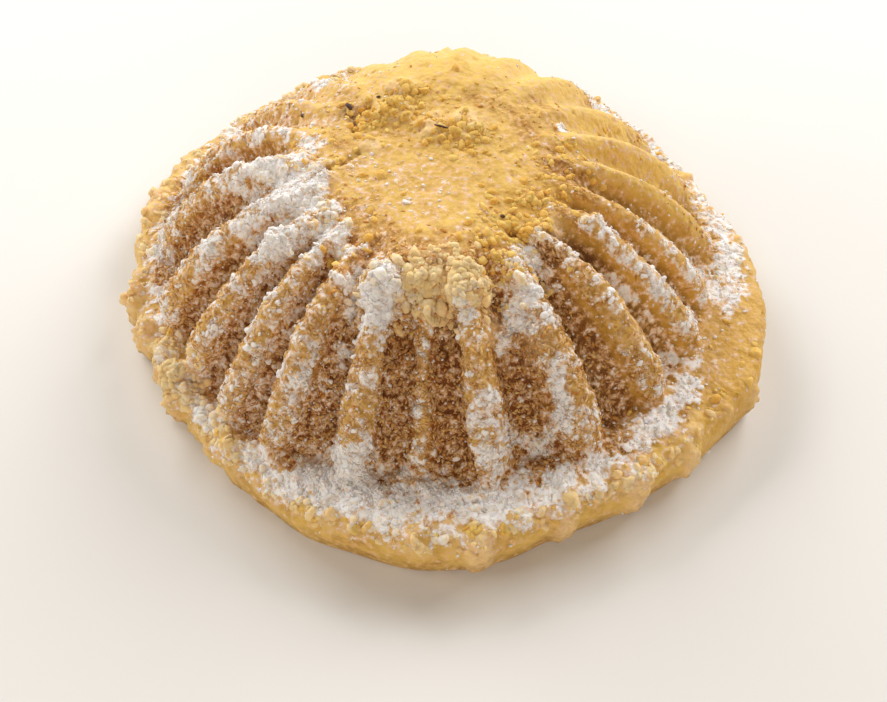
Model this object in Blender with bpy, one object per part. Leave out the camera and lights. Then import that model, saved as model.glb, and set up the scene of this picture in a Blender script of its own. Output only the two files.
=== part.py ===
"""Maamoul: one moulded semolina cookie, a ridged dome on a flat and uneven brim.

Metres, +Z up. The cookie rests on Z = 0 and the origin is the centre of its footprint.
Azimuths are in degrees, counted from +X towards +Y about the dome's axis.
"""

import math

import bmesh
import bpy

MM = 0.001

# Driving dimensions.
CROWN_HEIGHT = 21.6 * MM
BRIM_THICKNESS = 6.2 * MM
BRIM_RADIUS = 37.5 * MM
DOME_RADIUS = 34.0 * MM

# The dome: its height falls from the flat crown as 1 - u ** DOME_POWER, where u is 1 at its foot.
DOME_POWER = 4.0

# The mould's ridges were cut by hand, so they aren't evenly spaced.
RIDGE_AZIMUTHS = (
    -162, -146, -133, -122, -105, -92, -80, -60, -42, -27, -15,
    0, 15, 31, 47, 63, 79, 95, 111, 127, 143, 160, 176,
)
# How far each ridge that isn't full stands out, as a part of the full relief.
WEAK_RIDGES = {
    -92: 0.35, -15: 0.8, 31: 0.7, 47: 0.5, 63: 0.35, 79: 0.3,
    95: 0.3, 111: 0.35, 127: 0.5, 143: 0.7,
}
RIDGE_SHARPNESS = 2.6
FLUTE_INSET = 2.4 * MM
FLUTE_SINK = 2.2 * MM
# Where a flute starts and where it reaches its full depth, as parts of the way to the foot.
FLUTE_START = 0.42
FLUTE_FULL = 0.7
FLUTE_FADE = 0.5

# The brim leans: it is thickest at this azimuth and thinnest opposite.
BRIM_LEAN = 0.8 * MM
BRIM_LEAN_AZIMUTH = -35.0
# Where the brim's outline swells or is pinched: azimuth, half width in degrees, height.
BRIM_BULGES = (
    (-24, 30, 4.2 * MM),
    (-88, 26, 2.9 * MM),
    (-148, 16, -2.7 * MM),
    (22, 24, -1.6 * MM),
    (110, 22, 0.9 * MM),
    (155, 18, 1.3 * MM),
)
# Small waves on the brim's outline: waves round the cookie, height, phase in degrees.
BRIM_WAVES = ((7, 0.22 * MM, 40), (13, 0.20 * MM, 115), (22, 0.14 * MM, 10))
BRIM_EDGE_ROUND = 2.0 * MM
BRIM_UNDERCUT = 0.9 * MM
# The rounded edge, in from the outline and down from the top, as parts of its rounding.
BRIM_EDGE_STOPS = ((0.3, 0.35), (0.0, 0.9))
# The side below it: part of the undercut, part of the thickness.
BRIM_SIDE_STOPS = ((0.25, 0.3), (1.0, 0.0))

# Soft swells on the crown: azimuth, distance from the axis, radius, height.
CROWN_SWELLS = (
    (-91, 16.0 * MM, 5.5 * MM, 1.6 * MM),
    (150, 12.0 * MM, 6.0 * MM, -0.4 * MM),
    (-42, 13.0 * MM, 4.0 * MM, -0.7 * MM),
    (82, 22.0 * MM, 11.0 * MM, 3.9 * MM),
    (50, 26.0 * MM, 8.0 * MM, 2.0 * MM),
    (138, 23.0 * MM, 8.0 * MM, 0.7 * MM),
)

# Mesh fineness.
STEPS_PER_FLUTE = 7
DOME_RINGS = 15
BRIM_RINGS = 2
RING_CROWDING = 0.8

DOUGH_COLOUR = (0.80, 0.60, 0.30, 1.0)
DOUGH_ROUGHNESS = 0.9
SMOOTH_ANGLE = math.radians(50)


def clear_scene():
    for obj in list(bpy.data.objects):
        bpy.data.objects.remove(obj)


def smooth_step(value, start, end):
    part = min(max((value - start) / (end - start), 0.0), 1.0)
    return part * part * (3 - 2 * part)


def turn_between(azimuth, other):
    """The signed angle from one azimuth to another, in degrees, by the shorter way round."""
    return (azimuth - other + 180) % 360 - 180


def azimuth_steps():
    """(azimuth, flute depth from 0 on a full ridge to 1 in the valley) all the way round."""
    steps = []
    count = len(RIDGE_AZIMUTHS)
    for index, start in enumerate(RIDGE_AZIMUTHS):
        end = RIDGE_AZIMUTHS[(index + 1) % count]
        gap = (end - start) % 360
        low_start = 1 - WEAK_RIDGES.get(start, 1.0)
        low_end = 1 - WEAK_RIDGES.get(end, 1.0)
        for step in range(STEPS_PER_FLUTE):
            phase = step / STEPS_PER_FLUTE
            valley = 1 - abs(math.cos(math.pi * phase)) ** RIDGE_SHARPNESS
            crest = low_start if phase < 0.5 else low_end
            steps.append((start + gap * phase, crest + (1 - crest) * valley))
    return steps


def brim_radius(azimuth):
    radius = BRIM_RADIUS
    for centre, width, height in BRIM_BULGES:
        radius += height * math.exp(-((turn_between(azimuth, centre) / width) ** 2))
    for waves, height, phase in BRIM_WAVES:
        radius += height * math.sin(math.radians(waves * azimuth + phase))
    return radius


def brim_top(azimuth):
    return BRIM_THICKNESS + BRIM_LEAN * math.cos(math.radians(azimuth - BRIM_LEAN_AZIMUTH))


def crown_swell(x, y):
    total = 0.0
    for azimuth, distance, radius, height in CROWN_SWELLS:
        centre_x = distance * math.cos(math.radians(azimuth))
        centre_y = distance * math.sin(math.radians(azimuth))
        away = math.hypot(x - centre_x, y - centre_y) / radius
        total += height * math.exp(-away * away)
    return total


def dome_point(azimuth, depth, u):
    """A point of the dome's skin, at u of the way from the axis to the foot."""
    angle = math.radians(azimuth)
    radius = u * (DOME_RADIUS - depth * FLUTE_INSET)
    x = radius * math.cos(angle)
    y = radius * math.sin(angle)
    fall = 1 - u**DOME_POWER
    foot = brim_top(azimuth)
    sink = FLUTE_SINK * depth * smooth_step(u, FLUTE_START, FLUTE_FULL) * fall**FLUTE_FADE
    z = foot + (CROWN_HEIGHT - foot) * fall - sink + crown_swell(x, y) * fall
    return x, y, z


def ring_fractions():
    """Where the dome's rings lie: wide apart on the flat crown, close together on the steep flank."""
    turns = [0.5 * math.pi * ring / DOME_RINGS for ring in range(1, DOME_RINGS + 1)]
    return [math.sin(turn) ** RING_CROWDING for turn in turns]


def brim_profile(azimuth, depth):
    """Radius and height of the brim's section, from the dome's foot round to the flat bottom."""
    foot = DOME_RADIUS - depth * FLUTE_INSET
    outer = brim_radius(azimuth)
    top = brim_top(azimuth)
    shoulder = outer - BRIM_EDGE_ROUND
    points = []
    for ring in range(1, BRIM_RINGS + 1):
        points.append((foot + (shoulder - foot) * ring / BRIM_RINGS, top))
    for inward, down in BRIM_EDGE_STOPS:
        points.append((outer - inward * BRIM_EDGE_ROUND, top - down * BRIM_EDGE_ROUND))
    for undercut, up in BRIM_SIDE_STOPS:
        points.append((outer - undercut * BRIM_UNDERCUT, up * top))
    return points


def cookie_rings():
    """Every ring of the skin, from the crown down to the bottom's edge, as lists of points."""
    steps = azimuth_steps()
    rings = [[dome_point(azimuth, depth, u) for azimuth, depth in steps] for u in ring_fractions()]
    sections = [(azimuth, brim_profile(azimuth, depth)) for azimuth, depth in steps]
    for level in range(len(sections[0][1])):
        ring = []
        for azimuth, section in sections:
            radius, z = section[level]
            angle = math.radians(azimuth)
            ring.append((radius * math.cos(angle), radius * math.sin(angle), z))
        rings.append(ring)
    return rings


def cookie_mesh():
    """A closed skin: a fan at the crown, bands between the rings and a flat bottom."""
    mesh = bmesh.new()
    rings = [[mesh.verts.new(point) for point in ring] for ring in cookie_rings()]
    count = len(rings[0])
    crown = mesh.verts.new(dome_point(0.0, 0.0, 0.0))
    for index in range(count):
        mesh.faces.new((crown, rings[0][index], rings[0][(index + 1) % count]))
    for upper, lower in zip(rings, rings[1:]):
        for index in range(count):
            after = (index + 1) % count
            mesh.faces.new((upper[index], lower[index], lower[after], upper[after]))
    mesh.faces.new(reversed(rings[-1]))
    return mesh


def centre_footprint(mesh):
    """Moves the skin so that the middle of its bounding box stands over the origin."""
    for axis in (0, 1):
        places = [vert.co[axis] for vert in mesh.verts]
        middle = (min(places) + max(places)) / 2
        for vert in mesh.verts:
            vert.co[axis] -= middle


def dough_material():
    material = bpy.data.materials.new("dough")
    material.use_nodes = True
    shader = material.node_tree.nodes["Principled BSDF"]
    shader.inputs["Base Color"].default_value = DOUGH_COLOUR
    shader.inputs["Roughness"].default_value = DOUGH_ROUGHNESS
    shader.inputs["Metallic"].default_value = 0.0
    return material


def build_cookie():
    skin = cookie_mesh()
    centre_footprint(skin)
    bmesh.ops.triangulate(skin, faces=skin.faces[:])
    bmesh.ops.recalc_face_normals(skin, faces=skin.faces[:])
    data = bpy.data.meshes.new("maamoul")
    skin.to_mesh(data)
    skin.free()
    data.shade_smooth()
    data.set_sharp_from_angle(angle=SMOOTH_ANGLE)
    data.materials.append(dough_material())
    cookie = bpy.data.objects.new("maamoul", data)
    bpy.context.scene.collection.objects.link(cookie)


def main():
    clear_scene()
    build_cookie()


main()
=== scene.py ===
"""Maamoul cookie: the visual model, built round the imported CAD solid.

The fine skin is sampled from the CAD solid and gets its crumbly relief here. Loose crumbs,
semolina grains and icing sugar lie on it as real meshes. Metres, +Z up, azimuths in degrees
counted from +X towards +Y about the dome's axis, distances from that axis in millimetres.
"""

import math

import bmesh
import bpy
import numpy as np
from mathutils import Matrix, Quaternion, Vector, noise
from mathutils.bvhtree import BVHTree


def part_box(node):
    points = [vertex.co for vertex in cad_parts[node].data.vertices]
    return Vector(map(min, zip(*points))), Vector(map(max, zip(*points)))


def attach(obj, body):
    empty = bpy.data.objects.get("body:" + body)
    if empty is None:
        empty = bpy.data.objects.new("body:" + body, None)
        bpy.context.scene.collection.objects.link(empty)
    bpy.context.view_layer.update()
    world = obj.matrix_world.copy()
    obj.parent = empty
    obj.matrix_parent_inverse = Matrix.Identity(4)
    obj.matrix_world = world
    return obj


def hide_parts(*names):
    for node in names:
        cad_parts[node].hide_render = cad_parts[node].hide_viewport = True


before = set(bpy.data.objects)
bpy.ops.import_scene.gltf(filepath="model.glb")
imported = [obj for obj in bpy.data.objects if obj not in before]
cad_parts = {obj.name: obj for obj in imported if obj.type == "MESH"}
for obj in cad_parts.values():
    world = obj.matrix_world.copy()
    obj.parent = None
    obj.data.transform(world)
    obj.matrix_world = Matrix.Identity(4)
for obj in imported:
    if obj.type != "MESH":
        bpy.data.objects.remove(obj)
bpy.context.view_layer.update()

MM = 0.001
NODE = "maamoul"
BODY = "root"
LOW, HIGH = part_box(NODE)
HEIGHT = HIGH.z - LOW.z
REACH = 2 * max(HIGH.x - LOW.x, HIGH.y - LOW.y)
RNG = np.random.default_rng(17)

# Fineness of the skin: rings over the top, bands down the side and across the bottom, and how
# many points each ring has more than the one inside it.
TOP_RINGS = 150
SIDE_BANDS = 24
BOTTOM_BANDS = 3
SECTORS = 6
# The rings lie closer on the flanks, which start and end at these parts of the way out.
FINE_START = (0.30, 0.42)
FINE_END = (0.84, 0.92)
WIDE_RING = 1.35
NARROW_RING = 0.70

# Where the solid's outlines are measured, as parts of its height, and by how many rays.
DOME_LEVEL = 0.6
BRIM_LEVEL = 0.15
DOME_RAYS = 180
BRIM_RAYS = 1440
# Smoothing: passes over the rings, and how many rays the brim's outline is averaged over.
SMOOTHING_PASSES = 3
OUTLINE_WINDOW = 25
# A crest is what stands above its ring's average over this many degrees.
CREST_WINDOW = 17.0

# The brim's side: its rounding, how much less its lower half is rounded, how full it is, and how
# evenly its rings are spaced.
EDGE_ROUND = 1.9 * MM
SIDE_TUCK = 0.45
SIDE_FULLNESS = 0.6
SIDE_EVENNESS = 0.75
# The brim's edge starts at this part of the way out, and the floor holds the relief down up to
# this height.
EDGE_START = (0.93, 1.0)
FREE_HEIGHT = 1.2 * MM

# Icing sugar lies thickest in these places: azimuth, half width in degrees, distance and half
# width in mm, strength.
SUGAR_PLACES = (
    (-95, 48, 27, 9, 0.26),
    (-168, 34, 23, 9, 0.55),
    (-170, 12, 14, 5, 1.00),
    (160, 26, 15, 5, 0.95),
    (178, 12, 19, 4, 0.50),
    (-140, 22, 14.5, 3.5, 0.85),
    (-150, 12, 21, 3, 0.45),
    (-108, 10, 19.0, 3.4, 1.15),
    (-116, 5, 25.0, 5.0, 0.45),
    (-103, 13, 31.5, 2.0, 0.75),
    (-68, 8, 29.5, 3.5, 0.45),
    (-76, 5, 30, 4, 0.45),
    (-86, 10, 20, 2.2, 0.35),
    (-69, 7, 20.5, 2.6, 1.10),
    (-48, 16, 16.0, 3.4, 1.05),
    (-30, 14, 14.0, 2.0, 0.60),
    (-28, 16, 25, 7, 0.75),
    (-8, 12, 30, 6, 0.70),
    (-95, 42, 35.8, 3.0, 1.10),
    (-40, 20, 34.5, 2.4, 1.10),
    (-4, 14, 35.5, 3, 1.00),
    (-143, 22, 34.5, 2.5, 0.55),
    (175, 26, 34.0, 3, 0.55),
    (152, 16, 25, 5, 0.50),
    (16, 14, 36, 3, 0.85),
    (38, 14, 33, 4, 0.60),
    (138, 18, 35, 4, 0.60),
    (90, 60, 35.5, 3.5, 1.15),
    (60, 12, 29.5, 3, 0.95),
    (84, 7, 30, 3, 0.85),
    (104, 8, 29.5, 3.5, 1.05),
    (124, 9, 29, 4, 0.90),
    (26, 3.5, 16, 0.8, 2.0),
    (52, 5, 28, 2.6, 1.6),
    (80, 4, 25, 1.0, 1.3),
    (128, 5, 23, 1.5, 1.5),
)
# A thin veil of sugar that only makes the dough paler.
VEIL_PLACES = (
    (-100, 90, 5, 7, 0.17),
    (-95, 50, 28, 8, 0.16),
    (180, 60, 20, 12, 0.38),
    (-134, 18, 26, 8, 0.22),
    (130, 28, 24, 11, 0.50),
    (14, 20, 22, 10, 0.36),
    (-30, 40, 24, 9, 0.10),
    (-90, 120, 36, 5, 0.30),
)
# Deep golden dough, bare of sugar.
GOLD_PLACES = (
    (85, 60, 14, 9, 0.9),
    (85, 75, 24, 7, 0.9),
    (85, 75, 38, 3, 0.5),
    (-22, 18, 39, 3.5, 1.2),
    (14, 20, 24, 12, 0.8),
    (-40, 16, 12, 3, 0.6),
    (-110, 60, 11, 3, 0.45),
    (163, 26, 14, 6, 0.55),
    (120, 22, 9, 4, 0.6),
)
# Dough of a deeper gold, where it is moist: the flutes on the right, the brim there, the crown.
DEEP_PLACES = (
    (-24, 20, 39.5, 4, 1.2),
    (-35, 5.5, 25, 8, 1.1),
    (-21, 5, 26, 8, 1.1),
    (-8, 6, 26, 8, 1.1),
    (7, 6, 26, 7, 0.5),
    (-78, 4, 22, 6, 0.5),
    (-52, 4, 27, 6, 0.5),
    (122, 20, 10, 2.6, 0.7),
    (70, 40, 5.5, 2.0, 0.3),
    (-32, 18, 12.5, 2.5, 0.6),
    (-127, 4, 27, 6, 0.5),
    (-139, 4, 26, 6, 0.5),
    (-154, 5, 26, 6, 0.4),
)
# Where the sides of the flutes show smooth, moist dough between the crests and the valleys.
FLUTE_PLACES = (
    (-22, 32, 25, 11, 1.9),
    (-128, 16, 27, 6, 0.5),
    (-78, 8, 22, 6, 0.4),
)
# Darker, date-brown stains where the dough is thin.
STAIN_PLACES = (
    (-47, 7, 16, 2.2, 0.9),
    (-38, 5, 19, 2.4, 0.6),
    (139, 5, 13.5, 1.6, 0.9),
    (-72, 4, 17.5, 2.5, 0.5),
    (112, 8, 11, 1.8, 0.45),
)

# Where golden crumbs are strewn, and where pale lumps of dough have broken up.
CRUMB_PLACES = (
    (122, 24, 10, 2.6, 1.0),
    (65, 40, 5, 2.5, 0.8),
    (-42, 22, 12, 2.6, 0.8),
    (-5, 20, 14, 3.0, 0.35),
    (-62, 10, 16, 3.0, 0.5),
    (-100, 50, 38, 2.0, 0.20),
    (-160, 40, 14, 5.0, 0.20),
    (100, 90, 35, 4.0, 0.05),
)
PALE_CRUMB_PLACES = (
    (-88, 13, 17.0, 2.2, 1.3),
    (-104, 8, 18, 2.0, 0.25),
    (-150, 8, 35, 2.2, 0.9),
    (-138, 10, 36, 1.8, 0.8),
    (-118, 14, 38.5, 1.6, 0.3),
    (-92, 24, 40, 1.5, 0.25),
    (-66, 10, 39, 1.5, 0.5),
    (-50, 8, 40, 1.5, 0.4),
    (150, 60, 37, 2.0, 0.12),
)

# Dark scraps: azimuth, distance, half length and half thickness in mm.
SPECKS = (
    (84, 4.9, 0.85, 0.14),
    (137, 13.9, 0.50, 0.34),
    (147, 19.0, 0.32, 0.16),
    (123, 12.6, 0.24, 0.15),
    (-48, 10.5, 0.28, 0.18),
)

# Lumps standing on the skin: azimuth, distance, radius and height in mm.
LUMPS = (
    (-111, 17.6, 2.3, 1.5),
    (-116, 20.5, 1.6, 0.7),
    (-100, 16.6, 2.2, 1.2),
    (-90, 16.0, 2.4, 1.2),
    (-80, 17.0, 2.3, 1.3),
    (-92, 19.2, 1.4, 0.9),
    (-71, 20.6, 2.0, 1.2),
    (-65, 24.0, 1.5, 0.6),
    (-150, 19.5, 1.4, 0.8),
    (-171, 12.4, 1.3, 0.45),
    (-36, 15.0, 1.6, 0.8),
    (-22, 18.0, 1.5, 0.7),
    (122, 10.0, 2.2, 0.9),
    (110, 12.5, 1.8, 0.7),
    (95, 5.5, 2.0, 0.6),
    (60, 6.5, 2.4, 0.7),
    (160, 8.0, 1.4, 0.6),
    (88, 24.5, 1.2, 0.7),
    (74, 25.0, 1.5, 0.5),
    (-148, 36.8, 2.5, 2.2),
    (-141, 37.8, 1.9, 1.3),
    (-155, 36.2, 1.9, 1.5),
    (-134, 38.2, 1.9, 1.3),
    (-127, 38.6, 1.7, 1.0),
    (-163, 36.8, 1.9, 1.3),
    (-172, 37.0, 1.6, 1.0),
    (-57, 38.6, 1.7, 1.0),
    (-46, 40.0, 1.5, 0.9),
    (-29, 41.4, 1.2, 0.6),
    (-70, 38.6, 1.5, 0.8),
    (-84, 39.4, 1.6, 0.6),
)

# Large knobs along the brim's edge; the strength is their height in mm.
KNOB_PLACES = (
    (-150, 14, 37, 5, 1.2),
    (-128, 12, 37, 5, 1.0),
    (170, 24, 37, 5, 1.0),
)

# Cracks: depth and half width in mm, then the stops (azimuth, distance) that each runs through.
CRACKS = (
    (0.55, 0.22, (-92, 18.5), (-88, 20.5), (-89, 22.5)),
    (0.55, 0.30, (-84, 31), (-83, 33.0), (-81, 34)),
    (0.7, 0.45, (-52, 12), (-47, 15), (-45, 18.5)),
    (0.6, 0.35, (-40, 15), (-37, 18), (-38, 21)),
    (0.7, 0.50, (150, 11), (140, 13), (131, 12.5)),
    (0.5, 0.30, (170, 9), (-178, 12), (-172, 15)),
)

# Colours, as linear RGB.
PALE_DOUGH = (0.92, 0.63, 0.28, 1)
CRUMB_GOLD = (0.92, 0.61, 0.18, 1)
CRUMB_DEEP = (0.80, 0.45, 0.085, 1)
GOLD_DOUGH = (0.84, 0.57, 0.135, 1)
# The next colour is golden dough that is mottled and darkened as painted shade.
GOLD_MOTTLE_AND_PAINTED_SHADE = (0.66, 0.41, 0.085, 1)
AMBER_DOUGH = (0.38, 0.108, 0.012, 1)
DEEP_GOLD = (0.67, 0.39, 0.065, 1)
PALE_CRUMB = (0.97, 0.73, 0.40, 1)
SEMOLINA_DEEP = (0.60, 0.245, 0.045, 1)
CREAM = (0.90, 0.57, 0.24, 1)
# The next colour is a dark brown for real stains and a darker low edge, and for painted shade in
# hollows, cracks, pits and between crumbs.
STAIN_AND_PAINTED_SHADE_BROWN = (0.14, 0.045, 0.010, 1)
DUSTED = (0.76, 0.48, 0.25, 1)
SUGAR = (0.96, 0.95, 0.945, 1)
SUGAR_SHADE = (0.88, 0.84, 0.80, 1)
SPECK_DARK = (0.035, 0.018, 0.020, 1)
SPECK_BROWN = (0.12, 0.05, 0.030, 1)
FLOOR_PALE = (0.80, 0.80, 0.79, 1)
FLOOR_PALER = (0.84, 0.84, 0.83, 1)

# The camera: its target and distance are parts of the cookie's width.
CAMERA_ELEVATION = math.radians(52.7)
CAMERA_DISTANCE = 1.751
CAMERA_TARGET = (0.0022, -0.1196)
CAMERA_ROLL = math.radians(-0.35)
CAMERA_LENS = 45.5
CAMERA_SENSOR = 36
CAMERA_NEAR = 0.005

# Lights: name, azimuth, elevation, distance, width, height, power and colour. Two windows stand
# behind the cookie, a weak one at its left, and a broad warm one fills its front.
LIGHTS = (
    ("window_left", 125, 32, 0.60, 0.40, 0.30, 2.7, (1.0, 0.98, 0.96)),
    ("window_right", 45, 32, 0.60, 0.40, 0.30, 3.1, (1.0, 0.98, 0.96)),
    ("side", -178, 26, 0.60, 0.30, 0.30, 0.9, (1.0, 0.95, 0.88)),
    ("fill", -85, 30, 0.80, 0.50, 0.50, 2.5, (1.0, 0.86, 0.72)),
)
WORLD_COLOUR = (1.0, 0.86, 0.70, 1)
WORLD_STRENGTH = 0.13
# The floor: half its side, the size of its faint clouds, and its roughness.
FLOOR_HALF = 1.5
FLOOR_CLOUD = 60 * MM
FLOOR_ROUGHNESS = 0.75


# ---------- the solid, sampled


def cad_tree():
    """The solid's faces, ready for rays."""
    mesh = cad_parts[NODE].data
    points = [vertex.co.copy() for vertex in mesh.vertices]
    faces = [tuple(polygon.vertices) for polygon in mesh.polygons]
    return BVHTree.FromPolygons(points, faces)


TREE = cad_tree()


def side_hit(centre, angle, level):
    """Where a level ray from outside, aimed at the centre, meets the solid."""
    outward = Vector((math.cos(angle), math.sin(angle), 0.0))
    start = Vector((centre[0], centre[1], level)) + outward * REACH
    return TREE.ray_cast(start, -outward)[0]


def dome_axis():
    """The middle of the dome, from its outline well above the brim."""
    level = LOW.z + DOME_LEVEL * HEIGHT
    middle = (LOW + HIGH) / 2
    turns = np.linspace(0, 2 * math.pi, DOME_RAYS, endpoint=False)
    hits = [side_hit((middle.x, middle.y), turn, level) for turn in turns]
    return sum(hit.x for hit in hits) / len(hits), sum(hit.y for hit in hits) / len(hits)


AXIS = dome_axis()


def top_height(x, y):
    """How high the solid is at a point of the floor."""
    hit = TREE.ray_cast(Vector((x, y, HIGH.z + REACH)), Vector((0, 0, -1)))[0]
    return hit.z if hit else LOW.z


def outer_radius(angle):
    """The brim's radius, about half way up its side."""
    hit = side_hit(AXIS, angle, LOW.z + BRIM_LEVEL * HEIGHT)
    return math.hypot(hit.x - AXIS[0], hit.y - AXIS[1])


def rounded(outline):
    """Smooths a closed outline, whose last value repeats its first."""
    window = np.hanning(OUTLINE_WINDOW + 2)[1:-1]
    half = OUTLINE_WINDOW // 2
    once = np.array(outline[:-1])
    wrapped = np.concatenate([once[-half:], once, once[:half]])
    smooth = np.convolve(wrapped, window / window.sum(), "valid")
    return np.append(smooth, smooth[0])


# ---------- small number tools


# How steeply a packed lump falls off, and the part of its height that lies level with the skin.
CELL_STEEPNESS = 1.5
CELL_LEVEL = 0.35
# Keeps a length that is divided by above zero.
TINY = 1e-20


def smooth_step(values, start, end):
    """Rises softly from 0 at the start to 1 at the end."""
    part = np.clip((values - start) / (end - start), 0, 1)
    return part * part * (3 - 2 * part)


def angle_away(azimuths, centre):
    """Degrees from the centre to each azimuth, from -180 to 180."""
    return (azimuths - centre + 180) % 360 - 180


def noise_shift(seed):
    """Where in the endless noise a seed's own part lies."""
    return Vector((seed, seed * 1.7, seed * 2.3))


def fractal(points, size, octaves, seed):
    """Smooth noise from about -1 to 1, with features of the given size."""
    shift = noise_shift(seed)
    scale = 1 / size
    return np.array(
        [noise.fractal(Vector(point) * scale + shift, 1.0, 2.0, octaves) for point in points]
    )


def cell_bumps(points, size, seed):
    """Round lumps packed side by side: 1 at a lump's middle, about 0 between lumps."""
    shift = noise_shift(seed)
    scale = 1 / size
    nearest = np.array([noise.voronoi(Vector(point) * scale + shift)[0][0] for point in points])
    return np.clip(1 - nearest * CELL_STEEPNESS, 0, 1)


def place_field(places, azimuths, distances):
    """The sum of soft patches, each an azimuth, a distance, their half widths and a strength."""
    total = np.zeros(len(azimuths))
    for azimuth, wide, distance, deep, strength in places:
        across = angle_away(azimuths, azimuth) / wide
        along = (distances - distance) / deep
        total += strength * np.exp(-across * across - along * along)
    return total


# ---------- the skin's grid


def ring_spacing():
    """Where the top's rings lie, from 0 at the axis to 1 at the brim's edge."""
    steps = np.linspace(0, 1, TOP_RINGS + 1)
    middle = (steps[1:] + steps[:-1]) / 2
    fine = smooth_step(middle, *FINE_START) * (1 - smooth_step(middle, *FINE_END))
    widths = WIDE_RING - (WIDE_RING - NARROW_RING) * fine
    return np.concatenate([[0.0], np.cumsum(widths) / widths.sum()])


def disc_points():
    """Fraction of the way out and angle of each grid point, ring by ring."""
    fractions = [0.0]
    angles = [0.0]
    for ring, fraction in enumerate(ring_spacing()):
        for step in range(SECTORS * ring):
            fractions.append(fraction)
            angles.append(2 * math.pi * step / (SECTORS * ring))
    return np.array(fractions), np.array(angles)


def disc_faces():
    """Triangles between each ring and the one inside it."""
    faces = []
    inner_start = 0
    outer_start = 1
    for ring in range(1, TOP_RINGS + 1):
        outer_count = SECTORS * ring
        inner_count = max(SECTORS * (ring - 1), 1)
        for sector in range(SECTORS):
            for step in range(ring):
                outer = outer_start + sector * ring + step
                outer_next = outer_start + (sector * ring + step + 1) % outer_count
                inner = inner_start + (sector * (ring - 1) + step) % inner_count
                faces.append((outer, outer_next, inner))
                if step < ring - 1:
                    inner_next = inner_start + (sector * (ring - 1) + step + 1) % inner_count
                    faces.append((inner, outer_next, inner_next))
        inner_start = outer_start
        outer_start += outer_count
    return faces


def band_faces(first, second, count):
    """Triangles between two rings of equal counts, the second below the first."""
    faces = []
    for step in range(count):
        after = (step + 1) % count
        faces.append((first + step, second + step, second + after))
        faces.append((first + step, second + after, first + after))
    return faces


def smooth_rings(heights):
    """Rounds off the solid's facets: blends each ring with its neighbours and along itself."""
    starts = [0, 1]
    for ring in range(1, TOP_RINGS + 1):
        starts.append(starts[-1] + SECTORS * ring)
    rings = [heights[starts[k]:starts[k + 1]] for k in range(TOP_RINGS + 1)]
    for _ in range(SMOOTHING_PASSES):
        blended = [rings[0]]
        for k in range(1, TOP_RINGS + 1):
            own = rings[k]
            turned = (np.roll(own, 1) + 2 * own + np.roll(own, -1)) / 4
            places = np.arange(len(own)) / len(own)
            near = [turned]
            for other in (k - 1, k + 1):
                if 0 < other <= TOP_RINGS:
                    knots = np.arange(len(rings[other]) + 1) / len(rings[other])
                    values = np.append(rings[other], rings[other][0])
                    near.append(np.interp(places, knots, values))
            blended.append((2 * near[0] + sum(near[1:])) / (len(near) + 1))
        rings = blended
    return np.concatenate(rings)


def crest_height(heights):
    """How far each point of the top stands above its ring's average near it, in mm."""
    above = [np.zeros(1)]
    start = 1
    for ring in range(1, TOP_RINGS + 1):
        count = SECTORS * ring
        own = heights[start:start + count]
        half = int(count * CREST_WINDOW / (2 * 360))
        window = max(2 * half + 1, 3)
        wrapped = np.concatenate([own[-window:], own, own[:window]])
        mean = np.convolve(wrapped, np.ones(window) / window, "same")[window:-window]
        above.append((own - mean) / MM)
        start += count
    return np.concatenate(above)


class Skin:
    """The cookie's surface: points, faces and what is known at each point."""

    def __init__(self):
        fractions, angles = disc_points()
        turns = np.linspace(0, 2 * math.pi, BRIM_RAYS + 1)
        outline = rounded([outer_radius(turn) for turn in turns])
        radii = np.interp(angles, turns, outline)
        reach = fractions * (radii - EDGE_ROUND)
        x = AXIS[0] + reach * np.cos(angles)
        y = AXIS[1] + reach * np.sin(angles)
        z = smooth_rings(np.array([top_height(px, py) for px, py in zip(x, y)]))
        points = [np.column_stack([x, y, z])]
        faces = disc_faces()

        rim_count = SECTORS * TOP_RINGS
        rim_start = len(x) - rim_count
        rim_angles = angles[rim_start:]
        rim_top = z[rim_start:]
        rim_outer = radii[rim_start:]
        below = rim_start
        total = len(x)
        for radius, level in side_section(rim_outer, rim_top):
            ring_x = AXIS[0] + radius * np.cos(rim_angles)
            ring_y = AXIS[1] + radius * np.sin(rim_angles)
            points.append(np.column_stack([ring_x, ring_y, level]))
            faces += band_faces(below, total, rim_count)
            below = total
            total += rim_count
        points.append(np.array([[AXIS[0], AXIS[1], LOW.z]]))
        for step in range(rim_count):
            faces.append((below + step, total, below + (step + 1) % rim_count))
        self.points = np.concatenate(points)
        self.faces = np.array(faces)
        self.normals = vertex_normals(self.points, self.faces)
        self.edge = np.ones(len(self.points))
        self.edge[:len(x)] = smooth_step(fractions, *EDGE_START)
        self.crest = np.zeros(len(self.points))
        self.crest[:len(x)] = crest_height(z)
        self.describe()

    def describe(self):
        """Finds each point's azimuth, its distance from the axis and how far it faces up."""
        x = self.points[:, 0] - AXIS[0]
        y = self.points[:, 1] - AXIS[1]
        self.azimuths = np.degrees(np.arctan2(y, x))
        self.distances = np.hypot(x, y) / MM
        self.free = smooth_step(self.points[:, 2], LOW.z, LOW.z + FREE_HEIGHT)
        self.up = self.normals[:, 2]

    def field(self, places):
        """The sum of soft patches at each point."""
        return place_field(places, self.azimuths, self.distances)

    def push(self, amounts):
        """Moves each point out along its normal, never below the floor."""
        self.points = self.points + self.normals * (amounts * self.free)[:, None]
        self.points[:, 2] = np.maximum(self.points[:, 2], LOW.z)
        self.normals = vertex_normals(self.points, self.faces)


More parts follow.
